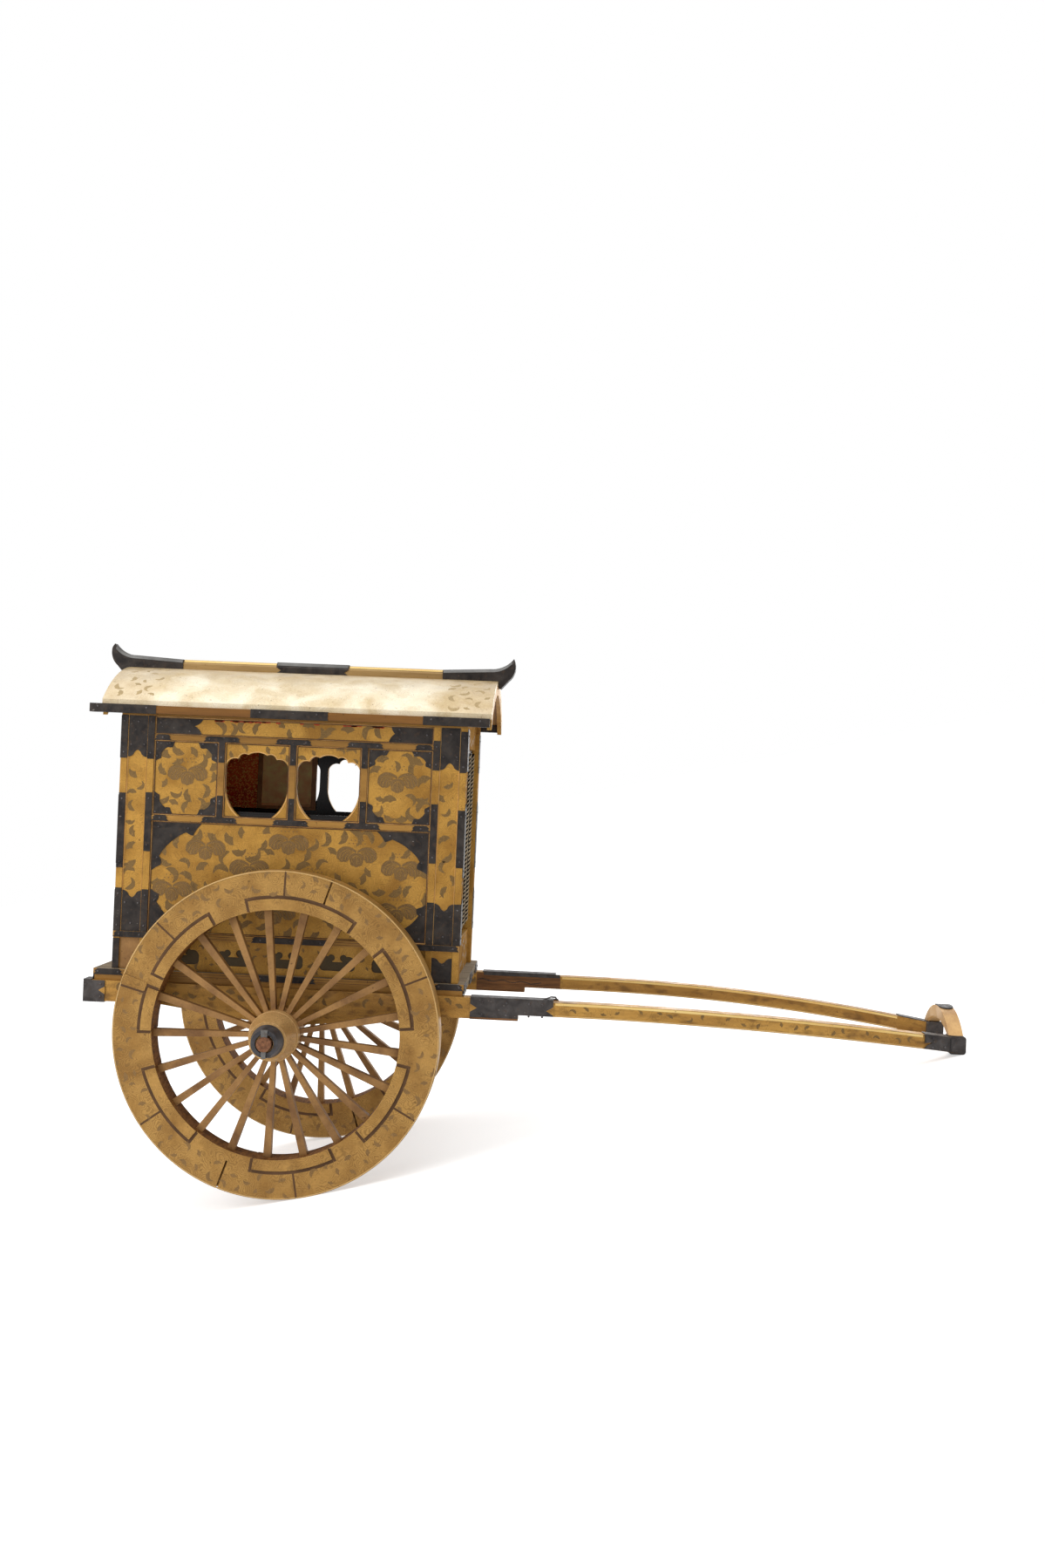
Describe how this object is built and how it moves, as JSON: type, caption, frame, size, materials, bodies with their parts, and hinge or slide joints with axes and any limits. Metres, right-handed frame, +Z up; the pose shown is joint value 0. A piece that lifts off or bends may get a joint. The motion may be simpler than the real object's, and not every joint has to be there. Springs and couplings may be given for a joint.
{
  "type": "model ox-drawn court carriage",
  "caption": "Display model of an ox-drawn court carriage: gilt lacquer cabin with a bowed roof and sliding window shutters on spoked wheels, with long shafts joined by a yoke.",
  "frame": {"origin": "on the floor straight below the middle of the axle", "axes": "+X forward along the floor to the yoke, +Y to the carriage's left along the axle, +Z up. The carriage is stored parked, nose down, on its wheels and shaft tips."},
  "size_m": [0.6539, 0.2854, 0.4417],
  "materials": {
    "gold_body": "satin",
    "gold_roof": "satin",
    "gold_eave": "satin",
    "gold_platform": "satin",
    "interior_lacquer": "satin",
    "shutter_lacquer": "satin",
    "blind_reed": "matte",
    "gold_shaft": "satin",
    "wheel_lacquer": "satin",
    "dark_mounts": "satin",
    "axle_iron": "matte"
  },
  "bodies": {
    "carriage": {"corner_posts": "gold_body", "side_frame_right": "gold_body", "side_frame_left": "gold_body", "window_panels_right": "gold_body", "window_panels_left": "gold_body", "lower_panels": "gold_body", "upper_panels": "gold_body", "friezes": "gold_body", "skirts": "gold_body", "lintels": "gold_body", "end_sills": "gold_body", "gables": "gold_body", "wall_plates": "gold_body", "roof": "gold_roof", "bargeboards": "gold_roof", "ridge_beam": "gold_roof", "eave_boards": "gold_eave", "platform": "gold_platform", "bearers": "gold_platform", "cabin_floor": "interior_lacquer", "shutter_rails": "interior_lacquer", "blind_front": "blind_reed", "blind_rear": "blind_reed", "shaft_right": "gold_shaft", "shaft_left": "gold_shaft", "yoke": "gold_shaft", "shaft_sleeves": "dark_mounts", "tail_caps": "dark_mounts", "tip_cap_right": "dark_mounts", "tip_cap_left": "dark_mounts", "crown_plate": "dark_mounts", "ridge_horns": "dark_mounts", "ridge_mid_cap": "dark_mounts", "axle": "axle_iron", "linchpins": "axle_iron"},
    "wheel_right": {"rim_right": "wheel_lacquer", "small_felloes_right": "wheel_lacquer", "spokes_right": "wheel_lacquer", "hub_right": "wheel_lacquer", "nose_ring_right": "dark_mounts"},
    "wheel_left": {"rim_left": "wheel_lacquer", "small_felloes_left": "wheel_lacquer", "spokes_left": "wheel_lacquer", "hub_left": "wheel_lacquer", "nose_ring_left": "dark_mounts"},
    "shutter_right": {"shutter_right": "shutter_lacquer"},
    "shutter_left": {"shutter_left": "shutter_lacquer"}
  },
  "joints": [
    {"name": "wheel_right_spin", "type": "hinge", "parent": "carriage", "child": "wheel_right", "pos_m": [0, -0.094, 0.121], "axis": [0, 1, 0], "continuous": true},
    {"name": "wheel_left_spin", "type": "hinge", "parent": "carriage", "child": "wheel_left", "pos_m": [0, 0.094, 0.121], "axis": [0, 1, 0], "continuous": true},
    {"name": "shutter_right_slide", "type": "slide", "parent": "carriage", "child": "shutter_right", "axis": [0.9727, 0, -0.2321], "range_m": [-0.0015, 0.157]},
    {"name": "shutter_left_slide", "type": "slide", "parent": "carriage", "child": "shutter_left", "axis": [0.9727, 0, -0.2321], "range_m": [-0.0485, 0.11]}
  ]
}
